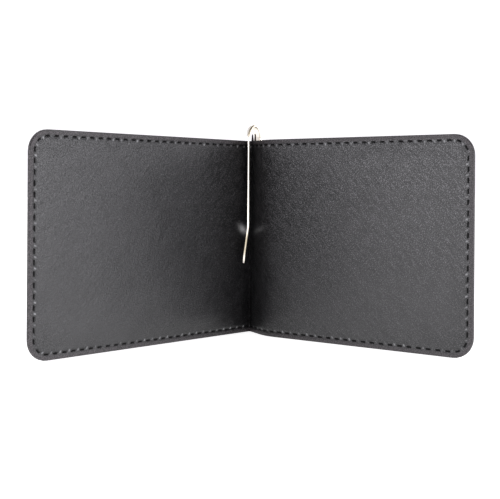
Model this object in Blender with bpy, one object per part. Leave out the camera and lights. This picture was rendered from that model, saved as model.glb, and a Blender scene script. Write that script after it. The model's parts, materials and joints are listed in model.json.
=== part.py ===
"""A leather bifold wallet with a spring money clip, standing open on its long edges.

+X runs to the right, +Z up, and the two covers open towards -Y. Lengths are in metres.
Each wall of leather has flat coordinates of its own: s runs along the wall from its fold, t runs from
the face that shows when the wallet is open towards the outside, and z runs up.
"""

import math

import bmesh
import bpy
from mathutils import Vector

HEIGHT = 0.078

# Seen from above, each wall runs at an angle from straight forward (-Y).
LEFT_ANGLE = math.radians(43.0)
SLEEVE_ANGLE = math.radians(25.0)
RIGHT_ANGLE = math.radians(52.9)
LEFT_SPINE_WIDTH = 0.012
SLEEVE_WIDTH = 0.014
LEFT_COVER_WIDTH = 0.0953
RIGHT_COVER_WIDTH = 0.0886
CORNER_RADIUS = 0.0075
CORNER_STEPS = 10
SHARP_ANGLE = math.radians(30)  # a skin that turns by less than this is shaded as a curve

# Layers of a wall, as t from the inner face.
LINING = (0.0, 0.0005)
BOARD = (0.0008, 0.0012)
SHELL = (0.0015, 0.0023)
SLEEVE_BACK = (0.0020, 0.0026)
SPINE_SHELL = (0.0029, 0.0037)
FOLD_DEPTH = 0.0012  # t of the line that a cover turns about
FOLD_GAP = 0.0009  # each rigid piece stops this far short of a fold
SPINE_WRAP = 0.003  # how far the spine's outer leather reaches past the fold, round the back

# Sewing.
STITCH_INSET = 0.0021
BOARD_INSET = 0.003
THREAD_RADIUS = 0.00025
THREAD_LIFT = 0.0005  # from the lining's face to the thread's middle
THREAD_GAP = 0.0016  # each run of thread stops this far short of a fold, clear of the next one when closed

# The clip, one steel strip folded into a hairpin.
STRIP_THICKNESS = 0.0009
STRIP_WIDTH = 0.006
STRIP_CHAMFER = 0.0002
STRIP_IN_SLEEVE = 0.00125  # t of the back leg's middle
BACK_LEG_START = 0.0012  # s of the back leg's edge nearest the fold
BACK_LEG_BOTTOM = 0.018
ARCH_START = 0.079
ARCH_RISE = 0.00465
ARCH_SPLIT = 0.1  # radians left open each side of the arch's top, between the two halves of the strip
ARCH_STEPS = 12
FRONT_LEG_TURN = math.radians(4)  # the front leg's faces stand this far from straight forward
FRONT_LEG_EDGE = (-0.0008, -0.0092)  # where the middle of its front edge stands, in plan
FLARE_START = 0.0435
FLARE_ANGLE = math.radians(7.2)
FLARE_BLEND = 0.003  # height over which the leg bends into its flare
TIP_TURN = 0.0315  # below this height the flare turns half way back to upright
TIP_WIDTH = 0.003
TIP_BOTTOM = 0.0283
LEG_STEP = 0.0012


class Wall:
    """One flat wall: where its inner face starts, and the directions of s and t. side is -1 on the left."""

    def __init__(self, start, angle, side):
        self.start = Vector(start)
        self.along = Vector((side * math.sin(angle), -math.cos(angle), 0))
        self.outward = Vector((side * math.cos(angle), math.sin(angle), 0))

    def point(self, s, t, z=0.0):
        return self.start + s * self.along + t * self.outward + Vector((0, 0, z))


def wall_past(fold, angle, side):
    """The wall that starts at a fold line, turned about a point FOLD_DEPTH into the leather."""
    wall = Wall(fold, angle, side)
    wall.start -= FOLD_DEPTH * wall.outward
    return wall


def clear_scene():
    for obj in list(bpy.data.objects):
        bpy.data.objects.remove(obj, do_unlink=True)


def material(name, colour, roughness, metallic=0.0):
    made = bpy.data.materials.new(name)
    made.use_nodes = True
    shader = made.node_tree.nodes["Principled BSDF"]
    shader.inputs["Base Color"].default_value = (*colour, 1.0)
    shader.inputs["Roughness"].default_value = roughness
    shader.inputs["Metallic"].default_value = metallic
    return made


def body_axis(name, place, parent=None):
    """An empty on a joint's axis, which carries the pieces that turn about it."""
    empty = bpy.data.objects.new(name, None)
    empty.empty_display_size = 0.01
    bpy.context.scene.collection.objects.link(empty)
    if parent:
        empty.parent = parent
        bpy.context.view_layer.update()
        place = parent.matrix_world.inverted() @ place
    empty.location = place
    bpy.context.view_layer.update()
    return empty


def add_piece(name, data, body, finish):
    data.transform(body.matrix_world.inverted())
    data.materials.append(finish)
    piece = bpy.data.objects.new(name, data)
    piece.parent = body
    bpy.context.scene.collection.objects.link(piece)


def solid_through(name, rings, body, finish):
    """A closed solid whose skin joins each ring of points to the next, capped at both ends."""
    shape = bmesh.new()
    loops = [[shape.verts.new(point) for point in ring] for ring in rings]
    for one, two in zip(loops, loops[1:]):
        for i in range(len(one)):
            j = (i + 1) % len(one)
            shape.faces.new((one[i], one[j], two[j], two[i]))
    shape.faces.new(loops[0])
    shape.faces.new(loops[-1])
    bmesh.ops.recalc_face_normals(shape, faces=shape.faces)
    mesh = bpy.data.meshes.new(name)
    shape.to_mesh(mesh)
    shape.free()
    mesh.shade_smooth()
    mesh.set_sharp_from_angle(angle=SHARP_ANGLE)
    add_piece(name, mesh, body, finish)


def corner_arcs(end, bottom, top, radius):
    """Points in (s, z) round the two outer corners of a panel, from the bottom up."""
    points = []
    for centre, start in ((bottom + radius, -90), (top - radius, 0)):
        for step in range(CORNER_STEPS + 1):
            angle = math.radians(start + 90 * step / CORNER_STEPS)
            points.append((end - radius + radius * math.cos(angle), centre + radius * math.sin(angle)))
    return points


def panel(name, wall, span, layer, body, finish, inset=0.0, rounded=False):
    """A flat sheet of the wall. inset keeps it that far from the top and bottom, and from a rounded end."""
    bottom, top = inset, HEIGHT - inset
    start, end = span
    if rounded:
        end -= inset
        outer = corner_arcs(end, bottom, top, CORNER_RADIUS - inset)
    else:
        outer = [(end, bottom), (end, top)]
    outline = [(start, bottom), *outer, (start, top)]
    rings = [[wall.point(s, t, z) for s, z in outline] for t in layer]
    solid_through(name, rings, body, finish)


def thread(name, points, body, finish):
    """A run of sewing thread through the given points."""
    curve = bpy.data.curves.new(name, "CURVE")
    curve.dimensions = "3D"
    curve.bevel_depth = THREAD_RADIUS
    curve.bevel_resolution = 1
    curve.use_fill_caps = True
    spline = curve.splines.new("POLY")
    spline.points.add(len(points) - 1)
    for point, place in zip(spline.points, points):
        point.co = (*place, 1.0)
    add_piece(name, curve, body, finish)


def edge_thread(name, wall, width, body, finish):
    """The seam round a cover: along the bottom, up the outer edge and back along the top."""
    end = width - STITCH_INSET
    arcs = corner_arcs(end, STITCH_INSET, HEIGHT - STITCH_INSET, CORNER_RADIUS - STITCH_INSET)
    path = [(THREAD_GAP, STITCH_INSET), *arcs, (THREAD_GAP, HEIGHT - STITCH_INSET)]
    thread(name, [wall.point(s, -THREAD_LIFT, z) for s, z in path], body, finish)


def cross_threads(prefix, wall, width, body, finish):
    """The same seam where it crosses a narrow wall beside the fold, at the top and at the bottom."""
    for edge, height in (("top", HEIGHT - STITCH_INSET), ("bottom", STITCH_INSET)):
        ends = [wall.point(s, -THREAD_LIFT, height) for s in (THREAD_GAP, width - THREAD_GAP)]
        thread(f"{prefix}_{edge}_thread", ends, body, finish)


def strip_ring(centre, tangent, across, width):
    """The strip's chamfered cross-section. across is the direction of its width."""
    through = tangent.cross(across).normalized()
    half_w, half_t = width / 2, STRIP_THICKNESS / 2
    in_w, in_t = half_w - STRIP_CHAMFER, half_t - STRIP_CHAMFER
    corners = [(in_w, half_t), (half_w, in_t), (half_w, -in_t), (in_w, -half_t)]
    corners += [(-w, -t) for w, t in corners]
    return [centre + w * across + t * through for w, t in corners]


def strip(name, stations, body, finish):
    """A run of the clip's strip through stations of (centre, direction of the width, width)."""
    rings = []
    for i, (centre, across, width) in enumerate(stations):
        before = stations[max(i - 1, 0)][0]
        after = stations[min(i + 1, len(stations) - 1)][0]
        rings.append(strip_ring(centre, (after - before).normalized(), across, width))
    solid_through(name, rings, body, finish)


def leg_offset(z):
    """How far the front leg has flared to the left at height z."""
    slope = math.tan(FLARE_ANGLE)
    below = FLARE_START - z
    if below <= -FLARE_BLEND / 2:
        return 0.0
    if below < FLARE_BLEND / 2:
        return slope * (below + FLARE_BLEND / 2) ** 2 / (2 * FLARE_BLEND)
    return slope * (below - max(TIP_TURN - z, 0) / 2)


def leg_width(z):
    """The front leg narrows towards its tip, which is round."""
    share = (ARCH_START - z) / (ARCH_START - TIP_BOTTOM)
    width = STRIP_WIDTH + (TIP_WIDTH - STRIP_WIDTH) * share
    radius = TIP_WIDTH / 2
    above_tip = z - TIP_BOTTOM
    if above_tip < radius:
        width *= math.sqrt(max(1 - (1 - above_tip / radius) ** 2, 0.05))
    return width


def across_strip(angle):
    """The direction of the strip's width where it has turned this far from straight forward."""
    return Vector((math.sin(angle), -math.cos(angle), 0))


def front_leg_station(z):
    across = across_strip(FRONT_LEG_TURN)
    half_width = leg_width(max(z, TIP_BOTTOM + TIP_WIDTH / 2)) / 2
    edge = Vector((FRONT_LEG_EDGE[0] - leg_offset(z), FRONT_LEG_EDGE[1], z))
    return edge - half_width * across, across, leg_width(z)


def arch_station(turn, front, back):
    """The strip's middle where it has turned this many radians over the fold, from 0 in front to pi behind."""
    share = (1 - math.cos(turn)) / 2
    centre = front.lerp(back, share)
    centre.z = ARCH_START + ARCH_RISE * math.sin(turn)
    angle = FRONT_LEG_TURN + (SLEEVE_ANGLE - FRONT_LEG_TURN) * turn / math.pi
    return centre, across_strip(angle), STRIP_WIDTH


def down_to(top, bottom):
    """Heights from just under top down to bottom, LEG_STEP or less apart."""
    count = math.ceil((top - bottom) / LEG_STEP)
    return [top + (bottom - top) * (i + 1) / count for i in range(count)]


def build_clip(sleeve, spine, arm_at, finish):
    """The two halves of the hairpin. arm_at makes the arm's body at a place."""
    front = front_leg_station(ARCH_START)[0]
    back = sleeve.point(BACK_LEG_START + STRIP_WIDTH / 2, STRIP_IN_SLEEVE, ARCH_START)
    arm = arm_at(arch_station(math.pi / 2, front, back)[0])
    quarter = [(math.pi / 2 - ARCH_SPLIT) * i / ARCH_STEPS for i in range(ARCH_STEPS + 1)]
    front_arch = [arch_station(turn, front, back) for turn in reversed(quarter)]
    front_leg = [front_leg_station(z) for z in down_to(ARCH_START, TIP_BOTTOM)]
    strip("clip_front_leg", front_arch + front_leg, arm, finish)
    back_arch = [arch_station(math.pi - turn, front, back) for turn in reversed(quarter)]
    foot = back.copy()
    foot.z = BACK_LEG_BOTTOM
    strip("clip_back_leg", [*back_arch, (foot, sleeve.along, STRIP_WIDTH)], spine, finish)


def build_cover(side, wall, width, body, finishes):
    """One cover: outer leather, stiffening board, lining and the seam round its edge."""
    span = (FOLD_GAP, width)
    panel(f"{side}_cover_shell", wall, span, SHELL, body, finishes["outer_leather"], rounded=True)
    board_span = (BOARD_INSET, width)
    panel(
        f"{side}_cover_board", wall, board_span, BOARD, body, finishes["board"], BOARD_INSET, rounded=True
    )
    panel(f"{side}_cover_lining", wall, span, LINING, body, finishes["lining_leather"], rounded=True)
    edge_thread(f"{side}_cover_thread", wall, width, body, finishes["thread"])


def centre_on_origin(root):
    """Moves the wallet so that its bounding box stands centred over the origin."""
    bpy.context.view_layer.update()
    places = [
        piece.matrix_world @ vertex.co
        for piece in bpy.context.scene.objects
        if piece.type == "MESH"
        for vertex in piece.data.vertices
    ]
    for axis in (0, 1):
        values = [place[axis] for place in places]
        root.location[axis] -= (min(values) + max(values)) / 2


def main():
    clear_scene()
    finishes = {
        "outer_leather": material("outer_leather", (0.022, 0.021, 0.022), 0.48),
        "lining_leather": material("lining_leather", (0.035, 0.034, 0.036), 0.5),
        "board": material("board", (0.16, 0.11, 0.075), 0.85),
        "thread": material("thread", (0.015, 0.015, 0.017), 0.6),
        "clip_steel": material("clip_steel", (0.82, 0.79, 0.74), 0.12, 1.0),
    }
    left_spine = Wall((0, 0, 0), LEFT_ANGLE, -1)
    sleeve = Wall((0, 0, 0), SLEEVE_ANGLE, 1)
    left = wall_past(left_spine.point(LEFT_SPINE_WIDTH, FOLD_DEPTH), LEFT_ANGLE, -1)
    right = wall_past(sleeve.point(SLEEVE_WIDTH, FOLD_DEPTH), RIGHT_ANGLE, 1)

    spine_body = body_axis("spine_body", Vector((0, 0, 0)))
    left_spine_body = body_axis("spine_fold_axis", Vector((0, 0, 0)), spine_body)
    left_body = body_axis("left_cover_fold_axis", left.point(0, FOLD_DEPTH), left_spine_body)
    right_body = body_axis("right_cover_fold_axis", right.point(0, FOLD_DEPTH), spine_body)

    sleeve_span = (FOLD_GAP, SLEEVE_WIDTH - FOLD_GAP)
    lining, outer = finishes["lining_leather"], finishes["outer_leather"]
    panel("clip_sleeve_front", sleeve, sleeve_span, LINING, spine_body, lining)
    panel("clip_sleeve_back", sleeve, sleeve_span, SLEEVE_BACK, spine_body, lining)
    shell_span = (-SPINE_WRAP, SLEEVE_WIDTH - 2 * FOLD_GAP)
    panel("spine_shell", sleeve, shell_span, SPINE_SHELL, spine_body, outer)
    seam = [Vector((0, 0, z)) for z in (STITCH_INSET, HEIGHT - STITCH_INSET)]
    thread("spine_seam_thread", seam, spine_body, finishes["thread"])
    cross_threads("sleeve", sleeve, SLEEVE_WIDTH, spine_body, finishes["thread"])

    left_span = (FOLD_GAP, LEFT_SPINE_WIDTH - FOLD_GAP)
    panel("left_spine_lining", left_spine, left_span, LINING, left_spine_body, lining)
    panel("left_spine_shell", left_spine, left_span, SHELL, left_spine_body, outer)
    cross_threads("left_spine", left_spine, LEFT_SPINE_WIDTH, left_spine_body, finishes["thread"])

    build_cover("left", left, LEFT_COVER_WIDTH, left_body, finishes)
    build_cover("right", right, RIGHT_COVER_WIDTH, right_body, finishes)
    build_clip(
        sleeve, spine_body, lambda place: body_axis("clip_arm_axis", place, spine_body), finishes["clip_steel"]
    )
    centre_on_origin(spine_body)


main()
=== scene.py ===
"""The looks of a leather bifold wallet with a spring money clip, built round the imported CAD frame.

The leather is described in flat coordinates, in millimetres: s runs along the wallet from the fold,
negative over the left cover and positive over the right, t runs from the inner face outwards, and z up.
"""

import json
import math
import random

import bmesh
import bpy
from mathutils import Matrix, Vector, noise

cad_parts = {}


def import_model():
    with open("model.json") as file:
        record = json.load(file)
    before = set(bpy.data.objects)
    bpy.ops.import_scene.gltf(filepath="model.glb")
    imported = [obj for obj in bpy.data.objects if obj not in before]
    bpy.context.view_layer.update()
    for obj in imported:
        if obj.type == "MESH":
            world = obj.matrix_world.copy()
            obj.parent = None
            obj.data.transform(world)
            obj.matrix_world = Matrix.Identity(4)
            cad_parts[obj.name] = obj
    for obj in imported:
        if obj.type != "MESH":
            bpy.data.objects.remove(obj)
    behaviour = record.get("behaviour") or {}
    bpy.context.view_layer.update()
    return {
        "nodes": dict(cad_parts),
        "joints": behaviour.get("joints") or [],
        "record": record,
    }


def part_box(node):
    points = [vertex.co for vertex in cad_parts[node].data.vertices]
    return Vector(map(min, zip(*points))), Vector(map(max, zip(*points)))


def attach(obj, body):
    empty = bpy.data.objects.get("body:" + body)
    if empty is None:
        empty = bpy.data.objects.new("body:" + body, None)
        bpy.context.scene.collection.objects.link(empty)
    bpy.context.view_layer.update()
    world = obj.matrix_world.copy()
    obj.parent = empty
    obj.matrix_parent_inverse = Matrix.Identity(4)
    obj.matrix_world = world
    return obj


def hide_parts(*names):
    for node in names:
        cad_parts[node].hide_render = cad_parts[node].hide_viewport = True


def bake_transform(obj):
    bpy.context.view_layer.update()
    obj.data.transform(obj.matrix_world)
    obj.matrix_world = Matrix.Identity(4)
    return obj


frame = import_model()

MM = 0.001
JOINTS = {joint["name"]: joint for joint in frame["joints"]}
MOUNTS = {mount["name"]: mount for mount in frame["record"]["mounts"]}
FOLD = Vector(JOINTS["spine_fold"]["pos_m"][:2]) / MM
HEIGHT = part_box("left_cover_shell")[1].z / MM

# Plan of the walls.
LEFT_LENGTH = 107.3
SLEEVE_WIDTH = 14.0
RIGHT_LENGTH = 102.6
SLEEVE_ANGLE = math.radians(25)
BEND_HALF = 6.0  # a wall's bend at a fold is spread this far each side of it
FOLD_RADIUS = 0.35  # of the inner face round the middle fold
CORNER_RADIUS = 7.5
CORNER_FACES = 8
INTERFACE = 6.6  # how far from the middle fold the leather of the covers begins

# Layers, as t, from the inner face outwards.
LINING_BACK = 0.55
RIM_MIDDLE = 0.65  # where lining and outer leather meet round the rim
RIM_GAP = 0.06
RIM_BACK = 1.35
RIM_SPREAD = 0.4  # the leathers part again at the very rim by this share of its rounding
OUTER_FRONT = 1.5
OUTER_BACK = 2.3
SPINE_FRONT = 2.9
SPINE_BACK = 3.7
CLIP_T = 1.25

# Sewing.
SEAM_INSET = 2.1
STITCH_PITCH = 3.8
STITCH_SHARE = 0.54
STITCH_RADIUS = 0.27
STITCH_SLANT = math.radians(6)
CREASE_PITCH = 4.0
CREASE_LENGTH = 2.7
CREASE_START = 4.3
CREASE_MARGIN = 3.0
CREASE_LIFT = 0.06
SEAM_HALF_WIDTH = 0.55  # of the groove that the stitches pull into the leather
SEAM_DEPTH = 0.12
STITCH_PULL = 0.12  # how much deeper it is under each stitch
PARED = (3.4, 2.2)  # the leathers are pared down between these insets, towards the rim
RIM_RADIUS = 0.3

# The clip.
STRIP_THICKNESS = 0.9
STRIP_WIDTH = 6.0
STRIP_EDGE_RADIUS = 0.24
STRIP_CORNER_STEPS = 4
ARCH_TURNS = 40
BACK_LEG_S = 4.2
BACK_LEG_BOTTOM = 18.0
ARCH_START = 79.0
ARCH_RISE = 4.65
FRONT_LEG_TURN = math.radians(4)
FRONT_LEG_EDGE = (-0.8, -9.2)  # the middle of its front edge in plan, from the fold
FLARE_START = 43.5
FLARE_SLOPE = math.tan(math.radians(7.2))
FLARE_BLEND = 3.0
TIP_TURN = 31.5
TIP_WIDTH = 3.0
TIP_BOTTOM = 28.3

# Camera, stage and lights, in metres and watts.
CAMERA_DISTANCE = 0.410
CAMERA_HEIGHT = 0.0583
CAMERA_ROLL = math.radians(-0.39)
CAMERA_LENS = 72.07
CAMERA_SHIFT = (-0.0008, -0.1208)
FLOOR_SIZE = 12
FLOOR_GLOW = 0.85
BACKDROP = (0.98, 0.965, 1, 1)
BACKDROP_BEHIND = 1.15
BACKDROP_BEFORE = 0.27
BACKDROP_EDGES = (0.1, 0.7)  # it brightens between these, as the direction's share of +Y
SOFT_WHITE = (0.985, 0.975, 1.02)
LIGHT_TARGET = (0, 0, 0.04)
LIGHTS = {  # name: (place, size, power)
    "left": ((-0.75, -0.35, 0.12), (0.5, 0.22), 2.8),
    "right": ((0.77, -0.24, 0.12), (0.5, 0.22), 3.7),
    "front": ((0.0, -0.85, 0.2), (0.4, 0.5), 1.1),
    "top": ((0.0, 0.0, 0.75), (0.5, 0.4), 0.8),
}


def smoothstep(low, high, value):
    x = min(max((value - low) / (high - low), 0.0), 1.0)
    return x * x * (3 - 2 * x)


# ---- Plan: where a point of the leather stands ----


def wall_directions():
    """The directions along the left wall, the sleeve and the right wall, away from the fold."""
    left_out = Vector(MOUNTS["left_outer_face"]["axis"])
    right_out = Vector(MOUNTS["right_outer_face"]["axis"])
    left = Vector((-left_out.y, left_out.x))
    right = Vector((right_out.y, -right_out.x))
    sleeve = Vector((math.sin(SLEEVE_ANGLE), -math.cos(SLEEVE_ANGLE)))
    return left, sleeve, right


LEFT, SLEEVE, RIGHT = wall_directions()
LEFT_OUT = Vector((LEFT.y, -LEFT.x))
SLEEVE_OUT = Vector((-SLEEVE.y, SLEEVE.x))
FOLD_TURN = LEFT_OUT.angle(SLEEVE_OUT)
FOLD_CUT = FOLD_RADIUS * math.tan(FOLD_TURN / 2)  # the fold's round part ends this far along each wall
FOLD_CENTRE = FOLD + FOLD_CUT * LEFT - FOLD_RADIUS * LEFT_OUT
RIGHT_TURN = SLEEVE.angle(RIGHT)
PATH_STEP = 0.25


def bend_path():
    """Points along the right wall's inner face through its bend, each with the way it heads."""
    place, places = FOLD + (SLEEVE_WIDTH - BEND_HALF) * SLEEVE, []
    for i in range(int(2 * BEND_HALF / PATH_STEP) + 1):
        turn = RIGHT_TURN * smoothstep(0, 2 * BEND_HALF, i * PATH_STEP)
        heading = Matrix.Rotation(turn, 2) @ SLEEVE
        places.append((place.copy(), heading))
        middle = RIGHT_TURN * smoothstep(0, 2 * BEND_HALF, (i + 0.5) * PATH_STEP)
        place = place + PATH_STEP * (Matrix.Rotation(middle, 2) @ SLEEVE)
    return places


BEND_PATH = bend_path()


def plan(s, t):
    """Where (s, t) is in plan, in millimetres."""
    if s <= -FOLD_CUT:
        return FOLD - s * LEFT + t * LEFT_OUT
    if s < FOLD_CUT:
        turn = FOLD_TURN * (s + FOLD_CUT) / (2 * FOLD_CUT)
        return FOLD_CENTRE + (FOLD_RADIUS + t) * (Matrix.Rotation(-turn, 2) @ LEFT_OUT)
    start = SLEEVE_WIDTH - BEND_HALF
    if s <= start:
        return FOLD + s * SLEEVE + t * SLEEVE_OUT
    steps = (s - start) / PATH_STEP
    index = min(int(steps), len(BEND_PATH) - 1)
    place, heading = BEND_PATH[index]
    if index < len(BEND_PATH) - 1:
        after, next_heading = BEND_PATH[index + 1]
        share = steps - index
        place, heading = place.lerp(after, share), heading.lerp(next_heading, share).normalized()
    else:
        place = place + (s - start - 2 * BEND_HALF) * heading
    return place + t * Vector((-heading.y, heading.x))


def world(s, t, z):
    place = plan(s, t)
    return Vector((place.x * MM, place.y * MM, z * MM))


def along_surface(s, t):
    """s as measured along the leather at depth t, so that the grain isn't stretched round the fold."""
    if s <= -FOLD_CUT:
        return s
    arc = (FOLD_RADIUS + t) * FOLD_TURN
    if s < FOLD_CUT:
        return -FOLD_CUT + arc * (s + FOLD_CUT) / (2 * FOLD_CUT)
    return s - 2 * FOLD_CUT + arc


# ---- Leather surfaces ----


def over_sleeve(s):
    """1 over the clip's sleeve, where the outer leather stands further out, and 0 over the covers."""
    return smoothstep(-3.0, 0.4, s) - smoothstep(9.0, 17.0, s)


LINING_SEED, OUTER_SEED = 1.5, 9.5
BROAD_WAVE, SLANTED_WAVE, FINE_WAVE = 0.26, 0.12, 0.02
SWELL = 0.22
TONGUE_RISE = 2.7


def waves(s, z, seed):
    """Soft unevenness of the leather, in millimetres."""
    broad = noise.noise(Vector((s / 34, z / 30, seed)))
    slanted = noise.noise(Vector(((s + 0.8 * z) / 16, (z - 0.8 * s) / 42, seed + 7)))
    fine = noise.noise(Vector((s / 7, z / 7, seed + 3)))
    return BROAD_WAVE * broad + SLANTED_WAVE * slanted + FINE_WAVE * fine


def seam_dip(inset, phase):
    """How far the stitches pull the leather in. phase is 0.5 in the middle of a stitch."""
    off = (inset - SEAM_INSET) / SEAM_HALF_WIDTH
    under_stitch = 0.5 - 0.5 * math.cos(2 * math.pi * phase)
    return math.exp(-off * off) * (SEAM_DEPTH + STITCH_PULL * under_stitch)


# Rings follow the rim this far inside it, and a plain grid fills the rest.
RIM = (6.2, 5.2, 4.4, 3.8, 3.4, 3.1, 2.75, 2.4, 2.1, 1.8, 1.5, 1.25, 1.0, 0.7, 0.45, 0.28, 0.16)
RIM += (0.07, 0.0)


def rim_round(inset):
    """How far the surface has rounded away near the rim."""
    if inset >= RIM_RADIUS:
        return 0.0
    return RIM_RADIUS - math.sqrt(max(RIM_RADIUS**2 - (RIM_RADIUS - inset) ** 2, 0.0))


def swell(inset):
    """The leather lies a little lower at the seam than over the middle of a cover."""
    return -SWELL * smoothstep(2.6, 9.0, inset)


# Where the clip's bend pinches the lining into a small ridge, which carries a painted highlight:
# each mark's middle, direction, half length, half width and strength.
PINCH_RIDGE_HEIGHT = 0.2
PINCH_RIDGES_AND_HIGHLIGHTS = (
    ((-4.5, 42.0), (-0.82, 0.57), 2.1, 1.35, 1.0),
    ((9.0, 42.0), (0.97, 0.24), 4.0, 0.9, 0.15),
)


def pinch_ridge_and_highlight(s, z):
    """How much the lining is pinched into a ridge here, which also sets the strength of its painted
    highlight, from 0 to 1.
    """
    most = 0.0
    for (middle_s, middle_z), (way_s, way_z), half_length, half_width, strength in PINCH_RIDGES_AND_HIGHLIGHTS:
        ds, dz = s - middle_s, z - middle_z
        along = (ds * way_s + dz * way_z) / half_length
        off = (dz * way_s - ds * way_z) / half_width
        most = max(most, strength * math.exp(-along * along - off * off))
    return most


def lining_front(s, z, inset, phase):
    fold_fade = smoothstep(0.6, 5.0, abs(s))
    fade = smoothstep(2.5, 8.0, inset) * fold_fade
    raised = PINCH_RIDGE_HEIGHT * pinch_ridge_and_highlight(s, z)
    dip = seam_dip(inset, phase) + rim_round(inset) + swell(inset) * fold_fade
    return dip + fade * waves(s, z, LINING_SEED) - raised


def thinned(inset):
    """1 round the rim, where the leathers are pared down and lie on each other, and 0 over the board."""
    return smoothstep(*PARED, inset)


def over_covers(s):
    return 1 - smoothstep(-6.0, -3.0, s) + smoothstep(15.0, 18.0, s)


def lining_back(s, z, inset, phase):
    rim = thinned(inset) * over_covers(s)
    return LINING_BACK + (RIM_MIDDLE - LINING_BACK) * rim - rim_round(inset) * RIM_SPREAD


def shell_front(s, z, inset, phase):
    rim = thinned(inset) * over_covers(s)
    front = OUTER_FRONT + (SPINE_FRONT - OUTER_FRONT) * over_sleeve(s)
    return front + (RIM_MIDDLE + RIM_GAP - OUTER_FRONT) * rim + rim_round(inset) * RIM_SPREAD


def shell_back(s, z, inset, phase):
    fade = smoothstep(2.5, 8.0, inset) * smoothstep(1.0, 6.0, abs(s))
    rim = thinned(inset) * over_covers(s)
    dip = seam_dip(inset, phase) + rim_round(inset) + (OUTER_BACK - RIM_BACK) * rim
    back = OUTER_BACK + (SPINE_BACK - OUTER_BACK) * over_sleeve(s)
    return back - dip + fade * waves(s, z, OUTER_SEED)


class Seam:
    """The line of stitches round one cover, from the bottom of the fold to the top. side is -1 or 1."""

    def __init__(self, side, length):
        self.side = side
        self.straight = length - CORNER_RADIUS
        self.upright = HEIGHT - 2 * CORNER_RADIUS
        self.arc = math.pi / 2 * (CORNER_RADIUS - SEAM_INSET)
        self.total = 2 * self.straight + 2 * self.arc + self.upright
        self.count = round(self.total / STITCH_PITCH)
        self.length = length

    def at(self, distance):
        """(s, z, direction of travel as an angle from s outwards) at this distance along the seam."""
        radius = CORNER_RADIUS - SEAM_INSET
        if distance < self.straight:
            return self.side * distance, SEAM_INSET, 0.0
        distance -= self.straight
        if distance < self.arc:
            angle = distance / radius
            s = self.straight + radius * math.sin(angle)
            return self.side * s, CORNER_RADIUS - radius * math.cos(angle), angle
        distance -= self.arc
        if distance < self.upright:
            return self.side * (self.length - SEAM_INSET), CORNER_RADIUS + distance, math.pi / 2
        distance -= self.upright
        if distance < self.arc:
            angle = distance / radius
            s = self.straight + radius * math.cos(angle)
            return self.side * s, HEIGHT - CORNER_RADIUS + radius * math.sin(angle), math.pi / 2 + angle
        distance -= self.arc
        return self.side * (self.straight - distance), HEIGHT - SEAM_INSET, math.pi

    def phase(self, distance):
        """Stitches counted along the seam: the whole part numbers the stitch."""
        return distance / self.total * self.count


SEAMS = {-1: Seam(-1, LEFT_LENGTH), 1: Seam(1, RIGHT_LENGTH)}


class Surface:
    """Collects a mesh's vertices in flat coordinates, with what its material needs to know of each."""

    def __init__(self):
        self.points, self.faces, self.flat = [], [], []
        self.inset, self.phase, self.pinch_highlight = [], [], []

    def add(self, s, z, inset, phase, depth):
        t = depth(s, z, inset, phase)
        self.points.append(world(s, t, z))
        self.flat.append((along_surface(s, t), z, t))
        self.inset.append(inset)
        self.phase.append(phase)
        # how strong the painted highlight of the clip's pinch is, on the lining only
        self.pinch_highlight.append(pinch_ridge_and_highlight(s, z) if depth is lining_front else 0.0)
        return len(self.points) - 1

    def face(self, *corners):
        distinct = [c for i, c in enumerate(corners) if c != corners[i - 1]]
        if len(distinct) > 2:
            self.faces.append(distinct)

    def build(self, name):
        attributes = {
            "flat_mm": self.flat,
            "inset_mm": self.inset,
            "stitch_phase": self.phase,
            "pinch_highlight": self.pinch_highlight,
        }
        return built(name, self.points, self.faces, attributes, LEATHER_SHARP)


LEATHER_SHARP, STITCH_SHARP, CLIP_SHARP = (math.radians(degrees) for degrees in (50, 80, 40))


def built(name, points, faces, attributes, sharp):
    """An object of these faces, turned outwards. attributes hold a number or a vector per point."""
    mesh = bpy.data.meshes.new(name)
    mesh.from_pydata(points, [], faces)
    for label, values in attributes.items():
        if isinstance(values[0], tuple):
            flattened = [x for value in values for x in value]
            mesh.attributes.new(label, "FLOAT_VECTOR", "POINT").data.foreach_set("vector", flattened)
        else:
            mesh.attributes.new(label, "FLOAT", "POINT").data.foreach_set("value", values)
    shape = bmesh.new()
    shape.from_mesh(mesh)
    bmesh.ops.recalc_face_normals(shape, faces=shape.faces)
    shape.to_mesh(mesh)
    shape.free()
    mesh.shade_smooth()
    mesh.set_sharp_from_angle(angle=sharp)
    obj = bpy.data.objects.new(name, mesh)
    bpy.context.scene.collection.objects.link(obj)
    return obj


def spaced(start, end, step):
    count = max(round((end - start) / step), 1)
    return [start + (end - start) * i / count for i in range(count + 1)]


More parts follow.
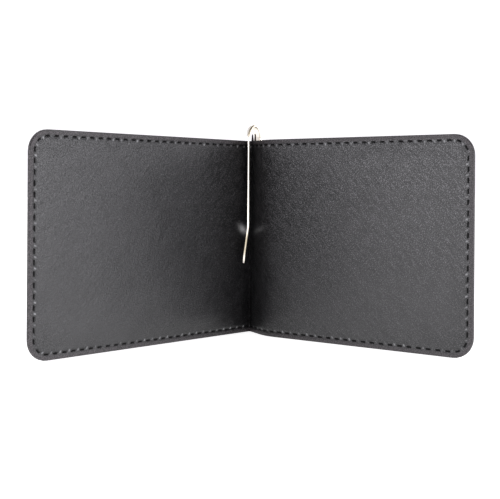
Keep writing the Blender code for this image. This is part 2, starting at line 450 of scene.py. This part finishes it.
def cover_side(surface, seam, depth):
    """One face of a cover: rings that follow the rim and a grid inside them.

    Returns its outermost ring, and the line of points where it ends beside the fold, bottom to top.
    """
    step = STITCH_PITCH / 4
    lengths = spaced(INTERFACE, seam.straight, step)
    heights = spaced(CORNER_RADIUS, HEIGHT - CORNER_RADIUS, step)
    corner = [math.pi / 2 * i / CORNER_FACES for i in range(1, CORNER_FACES)]
    side = seam.side

    def inset_of(length, z):
        return min(z, HEIGHT - z, seam.length - length)

    grid = [[surface.add(side * l, z, inset_of(l, z), 0, depth) for l in lengths] for z in heights]
    for low, high in zip(grid, grid[1:]):
        for i in range(len(low) - 1):
            surface.face(low[i], low[i + 1], high[i + 1], high[i])
    core = grid[0] + [grid[0][-1]] * len(corner) + [row[-1] for row in grid]
    core += [grid[-1][-1]] * len(corner) + grid[-1][::-1]
    rings = [core]
    for inset in RIM:
        radius = CORNER_RADIUS - inset
        places = [(l, inset, l) for l in lengths]
        turn = seam.straight
        for angle in corner:
            l = seam.straight + radius * math.sin(angle)
            z = CORNER_RADIUS - radius * math.cos(angle)
            places.append((l, z, turn + seam.arc * angle / (math.pi / 2)))
        turn += seam.arc
        places += [(seam.length - inset, z, turn + z - CORNER_RADIUS) for z in heights]
        turn += seam.upright
        for angle in corner:
            l = seam.straight + radius * math.cos(angle)
            z = HEIGHT - CORNER_RADIUS + radius * math.sin(angle)
            places.append((l, z, turn + seam.arc * angle / (math.pi / 2)))
        turn += seam.arc
        places += [(l, HEIGHT - inset, turn + seam.straight - l) for l in reversed(lengths)]
        rings.append([surface.add(side * l, z, inset, seam.phase(q), depth) for l, z, q in places])
    for outer, inner in zip(rings[1:], rings):
        for i in range(len(outer) - 1):
            surface.face(inner[i], inner[i + 1], outer[i + 1], outer[i])
    below = [ring[0] for ring in reversed(rings[1:])]
    above = [ring[-1] for ring in rings[1:]]
    return rings[-1], below + [row[0] for row in grid] + above


def cover_leather(name, side, front, back):
    """A closed sheet of leather over one cover."""
    surface, seam = Surface(), SEAMS[side]
    front_rim, front_end = cover_side(surface, seam, front)
    back_rim, back_end = cover_side(surface, seam, back)
    for i in range(len(front_rim) - 1):
        surface.face(front_rim[i], front_rim[i + 1], back_rim[i + 1], back_rim[i])
    for i in range(len(front_end) - 1):
        surface.face(front_end[i], front_end[i + 1], back_end[i + 1], back_end[i])
    return surface.build(name)


def tongue(s, z):
    """How much higher the sleeve's lining stands where it passes under the clip's arch."""
    beside_clip = smoothstep(0.5, 1.1, s) * smoothstep(1.9, 1.1, s)
    return TONGUE_RISE * beside_clip * smoothstep(70, 78, z)


def fold_leather(name, front, back, lift=None):
    """The leather between the covers, round the middle fold."""
    surface = Surface()
    middle = [FOLD_CUT * (i / 8 - 1) for i in range(17)]
    near = spaced(0.7, INTERFACE, 0.4)
    stations = [-x for x in reversed(near)] + middle + near
    heights = list(reversed(RIM)) + spaced(CORNER_RADIUS, HEIGHT - CORNER_RADIUS, STITCH_PITCH / 8)
    heights += [HEIGHT - inset for inset in RIM]

    def column(s, depth):
        made = []
        for z in heights:
            inset = min(z, HEIGHT - z)
            seam = SEAMS[-1 if s < 0 else 1]
            phase = seam.phase(abs(s) if z < HEIGHT / 2 else seam.total - abs(s))
            index = surface.add(s, z, inset, phase, depth)
            if lift:
                surface.points[index].z += lift(s, z) * MM
            made.append(index)
        return made

    loops = []
    for s in stations:
        loops.append(column(s, front) + column(s, back)[::-1])
    for one, two in zip(loops, loops[1:]):
        for i in range(len(one)):
            j = (i + 1) % len(one)
            surface.face(one[i], one[j], two[j], two[i])
    for loop in (loops[0], loops[-1]):
        half = len(loop) // 2
        other = loop[::-1]
        for i in range(half - 1):
            surface.face(loop[i], loop[i + 1], other[i + 1], other[i])
    return surface.build(name)


# ---- Stitches ----

STITCH_SIDES = 8
STITCH_STATIONS = 7
STITCH_SINK = 0.26
STITCH_LIFT = 0.04
SMALL_STEP = 0.2


def stitch_rings(centre, along, up, across, length, radius):
    """The rings of one stitch: a fat thread whose ends go down into the leather."""
    rings = []
    for i in range(STITCH_STATIONS):
        x = i / (STITCH_STATIONS - 1) * 2 - 1
        size = radius * math.sqrt(max(1 - 0.94 * abs(x) ** 3.2, 0.02))
        place = centre + along * (x * length / 2) - up * (STITCH_SINK * MM * abs(x) ** 2.4)
        ring = []
        for k in range(STITCH_SIDES):
            angle = 2 * math.pi * k / STITCH_SIDES
            ring.append(place + size * (math.cos(angle) * across + 0.8 * math.sin(angle) * up))
        rings.append(ring)
    return rings


def stitch_mesh(name, stitches):
    points, faces, twist = [], [], []
    for rings in stitches:
        base = len(points)
        for j, ring in enumerate(rings):
            points += ring
            twist += [(j / (len(rings) - 1), k / STITCH_SIDES, 0) for k in range(STITCH_SIDES)]
        for j in range(len(rings) - 1):
            for k in range(STITCH_SIDES):
                a, b = base + j * STITCH_SIDES, base + (j + 1) * STITCH_SIDES
                n = (k + 1) % STITCH_SIDES
                faces.append((a + k, a + n, b + n, b + k))
        last = base + (len(rings) - 1) * STITCH_SIDES
        faces.append(tuple(base + k for k in reversed(range(STITCH_SIDES))))
        faces.append(tuple(last + k for k in range(STITCH_SIDES)))
    return built(name, points, faces, {"twist": twist}, STITCH_SHARP)


def seam_stitches():
    """The stitches of both faces, sorted by where they are sewn: left, fold and right."""
    sorted_stitches = {"left": [], "fold": [], "right": []}
    chance = random.Random(4)
    for side, seam in SEAMS.items():
        pitch = seam.total / seam.count
        for number in range(seam.count):
            s, z, heading = seam.at((number + 0.5) * pitch)
            home = "fold" if abs(s) < INTERFACE else "left" if side < 0 else "right"
            length = pitch * STITCH_SHARE * chance.uniform(0.92, 1.08) * MM
            for depth, face, lean in ((lining_front, -1, 1), (shell_back, 1, -1)):
                t = depth(s, z, SEAM_INSET, 0.5)
                centre = world(s, t + face * STITCH_LIFT, z)
                out = world(s, t + face, z) - world(s, t, z)
                out.normalize()
                step = side * SMALL_STEP
                outward = (world(s + step, t, z) - world(s - step, t, z)).normalized()
                # seen from the front, each stitch leans the same way
                slant = STITCH_SLANT * lean * side * chance.uniform(0.8, 1.2)
                angle = heading + slant
                along = math.cos(angle) * outward + math.sin(angle) * Vector((0, 0, 1))
                across = along.cross(out).normalized()
                rings = stitch_rings(centre, along, out, across, length, STITCH_RADIUS * MM)
                sorted_stitches[home].append(rings)
    return sorted_stitches


def crease_stitches():
    """A line of stitches down the middle fold."""
    stitches = []
    forward = (LEFT + SLEEVE).normalized()
    place = FOLD_CENTRE + CREASE_LIFT * forward
    across = Vector((-forward.y, forward.x, 0))
    up = Vector((forward.x, forward.y, 0))
    z = CREASE_START
    while z < HEIGHT - CREASE_MARGIN:
        centre = Vector((place.x, place.y, z)) * MM
        length, radius = CREASE_LENGTH * MM, STITCH_RADIUS * MM
        stitches.append(stitch_rings(centre, Vector((0, 0, 1)), up, across, length, radius))
        z += CREASE_PITCH
    return stitches


# ---- The clip ----


def leg_offset(z):
    below = FLARE_START - z
    if below <= -FLARE_BLEND / 2:
        return 0.0
    if below < FLARE_BLEND / 2:
        return FLARE_SLOPE * (below + FLARE_BLEND / 2) ** 2 / (2 * FLARE_BLEND)
    return FLARE_SLOPE * (below - max(TIP_TURN - z, 0) / 2)


def leg_width(z):
    share = (ARCH_START - z) / (ARCH_START - TIP_BOTTOM)
    width = STRIP_WIDTH + (TIP_WIDTH - STRIP_WIDTH) * share
    radius = TIP_WIDTH / 2
    above = z - TIP_BOTTOM
    if above < radius:
        width *= math.sqrt(max(1 - (1 - above / radius) ** 2, 0.02))
    return width


def across_strip(angle):
    """The direction of the strip's width where it has turned this far from straight forward."""
    return Vector((math.sin(angle), -math.cos(angle), 0))


def front_leg(z):
    """The middle of the front leg at this height."""
    across = across_strip(FRONT_LEG_TURN)
    half_width = leg_width(max(z, TIP_BOTTOM + TIP_WIDTH / 2)) / 2
    edge = Vector((FOLD.x + FRONT_LEG_EDGE[0] - leg_offset(z), FOLD.y + FRONT_LEG_EDGE[1], z))
    return edge - half_width * across


def strip_section(centre, tangent, across, width, thickness):
    """A rounded cross-section of the strip, in metres."""
    through = tangent.cross(across).normalized()
    radius = min(STRIP_EDGE_RADIUS, thickness / 2 * 0.98, width / 2 * 0.98)
    half_w, half_t = width / 2 - radius, thickness / 2 - radius
    ring = []
    corners = ((1, 1), (-1, 1), (-1, -1), (1, -1))
    for quarter, (sign_w, sign_t) in enumerate(corners):
        for step in range(STRIP_CORNER_STEPS + 1):
            angle = math.pi / 2 * (quarter + step / STRIP_CORNER_STEPS)
            w = sign_w * half_w + radius * math.cos(angle)
            t = sign_t * half_t + radius * math.sin(angle)
            ring.append((centre + w * across + t * through) * MM)
    return ring


def clip_stations():
    """(centre, direction of the width, width, thickness) along the strip, from its front tip."""
    stations = []
    tip = [0.0, 0.08, 0.2, 0.4, 0.7, 1.1, 1.6]
    heights = [TIP_BOTTOM + h for h in tip] + spaced(TIP_BOTTOM + 2.2, ARCH_START, 0.8)[:-1]
    for z in heights:
        thin = STRIP_THICKNESS * math.sqrt(min(0.25 + (z - TIP_BOTTOM) / 0.5, 1.0))
        stations.append((front_leg(z), across_strip(FRONT_LEG_TURN), leg_width(z), thin))
    start = front_leg(ARCH_START)
    back = plan(BACK_LEG_S, CLIP_T)
    end = Vector((back.x, back.y, ARCH_START))
    for i in range(ARCH_TURNS + 1):
        turn = math.pi * i / ARCH_TURNS
        centre = start.lerp(end, (1 - math.cos(turn)) / 2)
        centre.z = ARCH_START + ARCH_RISE * math.sin(turn)
        angle = FRONT_LEG_TURN + (SLEEVE_ANGLE - FRONT_LEG_TURN) * turn / math.pi
        stations.append((centre, across_strip(angle), STRIP_WIDTH, STRIP_THICKNESS))
    for z in spaced(ARCH_START, BACK_LEG_BOTTOM, 2.0)[1:]:
        place = Vector((back.x, back.y, z))
        stations.append((place, across_strip(SLEEVE_ANGLE), STRIP_WIDTH, STRIP_THICKNESS))
    return stations


def build_clip():
    stations = clip_stations()
    points, faces, along = [], [], []
    length = 0.0
    for i, (centre, across, width, thickness) in enumerate(stations):
        before = stations[max(i - 1, 0)][0]
        after = stations[min(i + 1, len(stations) - 1)][0]
        length += (centre - before).length
        ring = strip_section(centre, (after - before).normalized(), across, width, thickness)
        points += ring
        for point in ring:
            offset = (Vector(point) / MM - centre).dot(across)
            along.append((offset, length, (Vector(point) / MM - centre).length))
    size = len(points) // len(stations)
    for j in range(len(stations) - 1):
        for k in range(size):
            n = (k + 1) % size
            a, b = j * size, (j + 1) * size
            faces.append((a + k, a + n, b + n, b + k))
    faces.append(tuple(reversed(range(size))))
    faces.append(tuple(len(points) - size + k for k in range(size)))
    return built("clip", points, faces, {"strip_mm": along}, CLIP_SHARP)


# ---- Materials ----

BLACK = (0.005, 0.005, 0.0055, 1)
LINING_PALER = (0.014, 0.0135, 0.0145, 1)
OUTER_PALER = (0.013, 0.0125, 0.0135, 1)
RIM_DYE = (0.085, 0.073, 0.079, 1)
GRAIN_GLINT = (0.16, 0.157, 0.163, 1)
PINCH_HIGHLIGHT_GREY = (0.75, 0.75, 0.75, 1)
STITCH_GAP_HIGHLIGHT = (0.28, 0.28, 0.29, 1)
IN_SHADE = (0.002, 0.002, 0.002, 1)
WAXED = (0.008, 0.0075, 0.008, 1)
PLATE_DULL, PLATE_BRIGHT = (0.78, 0.72, 0.63, 1), (0.88, 0.84, 0.76, 1)
PLATE_SHADED = (0.44, 0.38, 0.27, 1)
FIBRE_DARK, FIBRE_PALE = (0.09, 0.055, 0.035, 1), (0.24, 0.17, 0.11, 1)
NAP_DARK, NAP_PALE = (0.014, 0.013, 0.013, 1), (0.045, 0.042, 0.04, 1)
LEATHER_SHINE = 0.55
LEATHER_ROUGHNESS = 0.36
# How large and how deep the grain is, in millimetres and metres, and how much of its painted glints and
# shine is left in the fold's painted shade.
LINING_GRAIN = (0.33, 0.00021, 0.45)
OUTER_GRAIN = (0.6, 0.0003, 0.9)
# How strong the painted glints on the grain's tops are: between the first two places it goes from the
# third number to the fourth.
GLINTS_ALONG = (-60.0, 35.0, 0.3, 1.0)
GLINTS_UP = (0.0, 80.0, 0.46, 1.33)
FOLD_DIMMING_REACH = 30.0  # nearer to the fold than this, painted shade dims its glints and shine
HIDE_SLANT = math.radians(-45)
# Along the strip from the front tip: middle and half length of each stretch of painted warm shading, and
# how strong it is.
SHADED_STRETCHES = ((8.0, 4.0, 1.0), (54.5, 3.6, 0.95), (67.0, 2.6, 0.7))


def scaled(numbers, factor):
    return tuple(number * factor for number in numbers)


def set_range(node, low, high, to_low, to_high):
    node.inputs["From Min"].default_value = low
    node.inputs["From Max"].default_value = high
    node.inputs["To Min"].default_value = to_low
    node.inputs["To Max"].default_value = to_high


class Nodes:
    """Shorthand for building a material's node tree."""

    def __init__(self, name):
        self.material = bpy.data.materials.new(name)
        self.material.use_nodes = True
        self.tree = self.material.node_tree
        self.shader = self.tree.nodes["Principled BSDF"]

    def add(self, kind, settings=None, **inputs):
        node = self.tree.nodes.new(kind)
        for key, value in (settings or {}).items():
            setattr(node, key, value)
        for key, value in inputs.items():
            self.feed(node, key.replace("_", " "), value)
        return node

    def feed(self, node, socket, value):
        target = node.inputs[socket]
        if isinstance(value, bpy.types.NodeSocket):
            self.tree.links.new(value, target)
        else:
            target.default_value = value

    def attribute(self, name, output="Fac"):
        return self.add("ShaderNodeAttribute", {"attribute_name": name}).outputs[output]

    def math(self, operation, a, b=0.0, clamp=False):
        node = self.add("ShaderNodeMath", {"operation": operation, "use_clamp": clamp})
        self.feed(node, 0, a)
        self.feed(node, 1, b)
        return node.outputs[0]

    def between(self, value, low, high, to_low=0.0, to_high=1.0):
        """value mapped smoothly from low..high to to_low..to_high."""
        node = self.add("ShaderNodeMapRange", {"interpolation_type": "SMOOTHSTEP"}, Value=value)
        set_range(node, low, high, to_low, to_high)
        return node.outputs[0]

    def stretched(self, vector, size, turn=0.0):
        """vector in units of size along its own axes, once these are turned about the third."""
        node = self.add("ShaderNodeMapping", {"vector_type": "TEXTURE"}, Vector=vector)
        node.inputs["Scale"].default_value = size
        node.inputs["Rotation"].default_value = (0, 0, turn)
        return node.outputs[0]

    def noise(self, vector, scale, detail=2.0, roughness=0.5):
        made = self.add("ShaderNodeTexNoise", None, Vector=vector)
        made.inputs["Scale"].default_value = scale
        made.inputs["Detail"].default_value = detail
        made.inputs["Roughness"].default_value = roughness
        return made.outputs["Fac"]

    def mix(self, share, one, two):
        node = self.add("ShaderNodeMix", {"data_type": "RGBA"})
        self.feed(node, 0, share)
        self.feed(node, 6, one)
        self.feed(node, 7, two)
        return node.outputs[2]

    def bump(self, height, distance, strength=1.0, normal=None):
        node = self.add("ShaderNodeBump", None, Height=height)
        node.inputs["Distance"].default_value = distance
        node.inputs["Strength"].default_value = strength
        if normal is not None:
            self.feed(node, "Normal", normal)
        return node.outputs["Normal"]


def leather_material(name, light, grain):
    """Grained leather. Its rim, outside the stitches, is paler, and it has painted highlights between
    the stitches.
    """
    grain_size, grain_depth, in_fold = grain
    n = Nodes(name)
    flat = n.attribute("flat_mm", "Vector")
    inset = n.attribute("inset_mm")
    phase = n.attribute("stitch_phase")
    split = n.add("ShaderNodeSeparateXYZ", None, Vector=flat)
    along = split.outputs["X"]

    # both covers are cut so that the hide's long marks rise towards the fold
    mirrored = n.add("ShaderNodeCombineXYZ")
    n.feed(mirrored, "X", n.math("ABSOLUTE", along))
    n.feed(mirrored, "Y", split.outputs["Y"])
    n.feed(mirrored, "Z", n.math("MULTIPLY", n.math("LESS_THAN", along, 0.0), 60.0))
    hide = mirrored.outputs[0]

    pores = n.noise(n.stretched(hide, scaled((1.5, 1.0, 1.0), grain_size), HIDE_SLANT), 1.0, 2.0, 0.6)
    pebble = n.noise(n.stretched(hide, scaled((2.6, 2.0, 2.0), grain_size), HIDE_SLANT), 1.0, 2.0, 0.5)
    creases = n.noise(n.stretched(hide, (4.2, 1.1, 2.0), HIDE_SLANT), 1.0, 3.0, 0.6)
    relief = n.math("ADD", n.math("MULTIPLY", pebble, 0.5), n.math("MULTIPLY", pores, 0.7))
    relief = n.math("ADD", relief, n.math("MULTIPLY", creases, 0.35))

    broad = n.noise(flat, 0.035, 3.0, 0.55)
    streaks = n.noise(n.stretched(hide, (20, 5, 10), HIDE_SLANT), 1.0, 3.0, 0.6)
    tone = n.math("ADD", n.math("MULTIPLY", broad, 0.5), n.math("MULTIPLY", streaks, 0.5))
    tone = n.between(tone, 0.34, 0.66)
    colour = n.mix(tone, BLACK, light)

    # painted glints on the tops of the grain, stronger towards the right and the upper edge, where the
    # light falls brighter
    raised = n.math("ADD", n.math("MULTIPLY", pores, 0.8), n.math("MULTIPLY", creases, 0.2))
    tops = n.between(raised, 0.48, 0.66)
    glint_strength = n.math("MULTIPLY", n.between(along, *GLINTS_ALONG), n.between(split.outputs["Y"], *GLINTS_UP))
    # painted shade down in the fold: the grain's painted glints and its shine are weakest there
    fold_dimming = n.between(n.math("ABSOLUTE", along), 0.0, FOLD_DIMMING_REACH, in_fold, 1.0)
    glint_strength = n.math("MULTIPLY", glint_strength, fold_dimming)
    colour = n.mix(n.math("MULTIPLY", tops, glint_strength), colour, GRAIN_GLINT)

    # a painted highlight where the clip's bend pinches the lining into a ridge
    pinch_highlight_mask = n.math("MULTIPLY", n.attribute("pinch_highlight"), n.between(pores, 0.3, 0.6, 0.6, 1.0))
    colour = n.mix(pinch_highlight_mask, colour, PINCH_HIGHLIGHT_GREY)

    # the rim, uneven where the cut edge has been dyed
    uneven = n.math("SUBTRACT", n.noise(flat, 1.3, 3.0, 0.6), 0.5)
    rim = n.between(n.math("ADD", inset, uneven), 1.2, 2.0, 1.0, 0.0)
    dyed = n.mix(n.between(pores, 0.38, 0.64), BLACK, RIM_DYE)
    colour = n.mix(n.math("MULTIPLY", rim, 0.9), colour, dyed)

    # painted highlight on the leather squeezed up between two stitches, most on the inner side
    lean = n.math("MULTIPLY", n.math("SUBTRACT", inset, SEAM_INSET), 0.08)
    whole = n.math("ADD", n.math("ADD", phase, lean), 0.5)
    middle = n.math("ABSOLUTE", n.math("SUBTRACT", n.math("FRACT", whole), 0.5))
    between_stitches = n.between(middle, 0.03, 0.13, 1.0, 0.0)
    off_seam = n.math("ABSOLUTE", n.math("SUBTRACT", inset, SEAM_INSET + 0.4))
    gap_highlight = n.math("MULTIPLY", between_stitches, n.between(off_seam, 0.2, 0.6, 1.0, 0.0), True)
    patchy = n.between(n.noise(flat, 0.16, 2.0, 0.6), 0.4, 0.62, 0.1, 1.0)
    gap_highlight = n.math("MULTIPLY", n.math("MULTIPLY", gap_highlight, patchy), 0.8)
    colour = n.mix(gap_highlight, colour, STITCH_GAP_HIGHLIGHT)

    # the holes that the stitches are pulled into
    off_seam = n.math("ABSOLUTE", n.math("SUBTRACT", inset, SEAM_INSET))
    on_seam = n.between(off_seam, 0.2, 0.5, 1.0, 0.0)
    pulled = n.math("MULTIPLY", on_seam, n.between(middle, 0.2, 0.3, 0.0, 1.0), True)
    colour = n.mix(pulled, colour, IN_SHADE)
    n.feed(n.shader, "Base Color", colour)

    rough = n.math("ADD", LEATHER_ROUGHNESS, n.math("MULTIPLY", n.math("SUBTRACT", broad, 0.5), 0.14))
    rough = n.math("ADD", rough, n.math("MULTIPLY", n.math("SUBTRACT", pores, 0.5), 0.2))
    rough = n.math("ADD", rough, n.math("MULTIPLY", rim, 0.14))
    n.feed(n.shader, "Roughness", rough)
    wrinkles = n.noise(n.stretched(hide, (9, 3.2, 6), HIDE_SLANT), 1.0, 3.0, 0.6)
    normal = n.bump(wrinkles, 0.0003, 0.5)
    n.feed(n.shader, "Normal", n.bump(relief, grain_depth, 1.0, normal))

    # it shines least in the crease itself and where it is pulled in
    open_leather = n.between(n.math("ABSOLUTE", along), 0.3, 2.4, 0.08, 1.0)
    shine = n.math("MULTIPLY", n.math("SUBTRACT", 1.0, n.math("MULTIPLY", pulled, 0.9)), open_leather)
    shine = n.math("MULTIPLY", shine, fold_dimming)
    n.feed(n.shader, "Specular IOR Level", n.math("MULTIPLY", shine, LEATHER_SHINE))
    return n.material


def thread_material():
    """Waxed thread with the twist of its plies."""
    n = Nodes("thread")
    twist = n.attribute("twist", "Vector")
    plies = n.add("ShaderNodeTexWave", {"bands_direction": "DIAGONAL"}, Vector=twist)
    plies.inputs["Scale"].default_value = 2.6
    plies.inputs["Distortion"].default_value = 0.6
    ply = plies.outputs["Fac"]
    n.feed(n.shader, "Base Color", n.mix(ply, IN_SHADE, WAXED))
    n.feed(n.shader, "Roughness", n.between(ply, 0.0, 1.0, 0.62, 0.5))
    n.feed(n.shader, "Normal", n.bump(ply, 0.00008))
    n.shader.inputs["Specular IOR Level"].default_value = 0.15
    return n.material


def clip_material():
    """Nickel plate, with painted warm shading over a few stretches of the strip."""
    n = Nodes("clip_steel")
    strip = n.attribute("strip_mm", "Vector")
    length = n.add("ShaderNodeSeparateXYZ", None, Vector=strip).outputs["Y"]
    hair = n.noise(n.stretched(strip, (0.11, 2.9, 0.11)), 1.0, 4.0, 0.7)
    smudge = n.noise(strip, 0.22, 2.0, 0.5)
    plate = n.mix(smudge, PLATE_DULL, PLATE_BRIGHT)
    warm_shade = 0.0
    for middle, reach, share in SHADED_STRETCHES:
        off = n.math("ABSOLUTE", n.math("SUBTRACT", length, middle))
        warm_shade = n.math("MAXIMUM", warm_shade, n.between(off, reach - 1.5, reach + 1.5, share, 0.0))
    warm_shade = n.math("MULTIPLY", warm_shade, n.between(hair, 0.3, 0.6, 0.75, 1.0), True)
    n.feed(n.shader, "Base Color", n.mix(warm_shade, plate, PLATE_SHADED))
    rough = n.math("ADD", n.between(smudge, 0.35, 0.65, 0.05, 0.1), n.math("MULTIPLY", hair, 0.04))
    n.feed(n.shader, "Roughness", n.math("ADD", rough, n.math("MULTIPLY", warm_shade, 0.08)))
    n.feed(n.shader, "Normal", n.bump(hair, 0.000004, 0.5))
    n.shader.inputs["Metallic"].default_value = 1.0
    return n.material


def board_material():
    """Bonded leather: pressed fibres."""
    n = Nodes("board")
    place = n.add("ShaderNodeTexCoord").outputs["Object"]
    fibres = n.noise(n.stretched(place, (0.0011, 0.0011, 0.0004)), 1.0, 5.0, 0.7)
    n.feed(n.shader, "Base Color", n.mix(fibres, FIBRE_DARK, FIBRE_PALE))
    n.feed(n.shader, "Normal", n.bump(fibres, 0.0001))
    n.shader.inputs["Roughness"].default_value = 0.85
    return n.material


def sleeve_material():
    """The flesh side of the leather inside the clip's sleeve, placed by the object's own space."""
    n = Nodes("sleeve_leather")
    place = n.add("ShaderNodeTexCoord").outputs["Object"]
    nap = n.noise(place, 1400, 4.0, 0.65)
    n.feed(n.shader, "Base Color", n.mix(nap, NAP_DARK, NAP_PALE))
    n.feed(n.shader, "Normal", n.bump(nap, 0.00015))
    n.shader.inputs["Roughness"].default_value = 0.8
    return n.material


def floor_material():
    n = Nodes("floor")
    n.shader.inputs["Base Color"].default_value = (0.9, 0.9, 0.9, 1)
    n.shader.inputs["Roughness"].default_value = 0.9
    n.shader.inputs["Specular IOR Level"].default_value = 0.1
    n.shader.inputs["Emission Color"].default_value = (1, 1, 1, 1)
    n.shader.inputs["Emission Strength"].default_value = FLOOR_GLOW
    return n.material


# ---- Putting it together ----


def paint(obj, material):
    obj.data.materials.clear()
    obj.data.materials.append(material)


def place_leather(pieces):
    """Bakes each piece's transform into its mesh. pieces is left, fold, right."""
    left, fold, right = pieces
    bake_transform(left)
    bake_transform(fold)
    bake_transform(right)


def build_leather():
    lining = leather_material("lining_leather", LINING_PALER, LINING_GRAIN)
    outer = leather_material("outer_leather", OUTER_PALER, OUTER_GRAIN)
    for title, material, front, back, lift in (
        ("lining", lining, lining_front, lining_back, tongue),
        ("outer", outer, shell_front, shell_back, None),
    ):
        left = cover_leather(f"{title}_left", -1, front, back)
        fold = fold_leather(f"{title}_fold", front, back, lift)
        right = cover_leather(f"{title}_right", 1, front, back)
        for piece in (left, fold, right):
            paint(piece, material)
        place_leather((left, fold, right))
        if title == "lining":
            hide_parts("left_cover_lining")
            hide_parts("left_spine_lining", "clip_sleeve_front")
            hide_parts("right_cover_lining")
        else:
            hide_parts("left_cover_shell")
            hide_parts("left_spine_shell", "spine_shell")
            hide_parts("right_cover_shell")


def build_threads():
    material = thread_material()
    sewn = seam_stitches()
    pieces = [stitch_mesh(f"stitches_{place}", sewn[place]) for place in ("left", "fold", "right")]
    crease = stitch_mesh("stitches_crease", crease_stitches())
    for piece in (*pieces, crease):
        paint(piece, material)
    place_leather(pieces)
    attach(crease, "spine")
    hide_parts("left_cover_thread")
    beside_fold = ("left_spine_top_thread", "left_spine_bottom_thread")
    over_the_sleeve = ("sleeve_top_thread", "sleeve_bottom_thread")
    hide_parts(*beside_fold, *over_the_sleeve)
    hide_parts("right_cover_thread")
    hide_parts("spine_seam_thread")


def place_clip():
    clip = build_clip()
    paint(clip, clip_material())
    back = plan(BACK_LEG_S, CLIP_T)
    back = Vector((back.x, back.y, ARCH_START))
    way = (front_leg(ARCH_START) - back).normalized()
    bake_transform(clip)
    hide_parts("clip_back_leg", "clip_front_leg")


def finish_cad_nodes():
    """The pieces that stay as the CAD made them."""
    board = board_material()
    for name in ("left_cover_board", "right_cover_board"):
        paint(frame["nodes"][name], board)
    paint(frame["nodes"]["clip_sleeve_back"], sleeve_material())


def build_stage():
    bpy.ops.mesh.primitive_plane_add(size=FLOOR_SIZE, location=(0, 0, 0))
    floor = bpy.context.object
    floor.name = "floor"
    paint(floor, floor_material())


def area_light(name, place, size, power):
    data = bpy.data.lights.new(name, "AREA")
    data.shape = "RECTANGLE"
    data.size, data.size_y = size
    data.energy = power
    data.color = SOFT_WHITE
    lamp = bpy.data.objects.new(name, data)
    lamp.location = place
    lamp.rotation_mode = "QUATERNION"
    lamp.rotation_quaternion = (Vector(LIGHT_TARGET) - Vector(place)).to_track_quat("-Z", "Y")
    bpy.context.scene.collection.objects.link(lamp)


def build_lights():
    """A white backdrop behind the wallet, dimmer surroundings before it, and four soft lights."""
    sky = bpy.data.worlds.new("studio")
    sky.use_nodes = True
    tree = sky.node_tree
    direction = tree.nodes.new("ShaderNodeTexCoord")
    split = tree.nodes.new("ShaderNodeSeparateXYZ")
    tree.links.new(direction.outputs["Generated"], split.inputs[0])
    strength = tree.nodes.new("ShaderNodeMapRange")
    tree.links.new(split.outputs["Y"], strength.inputs["Value"])
    set_range(strength, *BACKDROP_EDGES, BACKDROP_BEFORE, BACKDROP_BEHIND)
    tree.links.new(strength.outputs[0], tree.nodes["Background"].inputs["Strength"])
    tree.nodes["Background"].inputs["Color"].default_value = BACKDROP
    bpy.context.scene.world = sky
    for name, (place, size, power) in LIGHTS.items():
        area_light(name, place, size, power)


def build_camera():
    data = bpy.data.cameras.new("camera")
    data.sensor_width = 36
    data.lens = CAMERA_LENS
    data.shift_x, data.shift_y = CAMERA_SHIFT
    data.clip_start = 0.01
    camera = bpy.data.objects.new("camera", data)
    camera.location = (FOLD.x * MM, FOLD.y * MM - CAMERA_DISTANCE, CAMERA_HEIGHT)
    camera.rotation_euler = (math.radians(90), CAMERA_ROLL, 0)
    bpy.context.scene.collection.objects.link(camera)
    bpy.context.scene.camera = camera


bpy.context.scene.view_settings.view_transform = "Standard"
build_leather()
build_threads()
place_clip()
finish_cad_nodes()
build_stage()
build_lights()
build_camera()
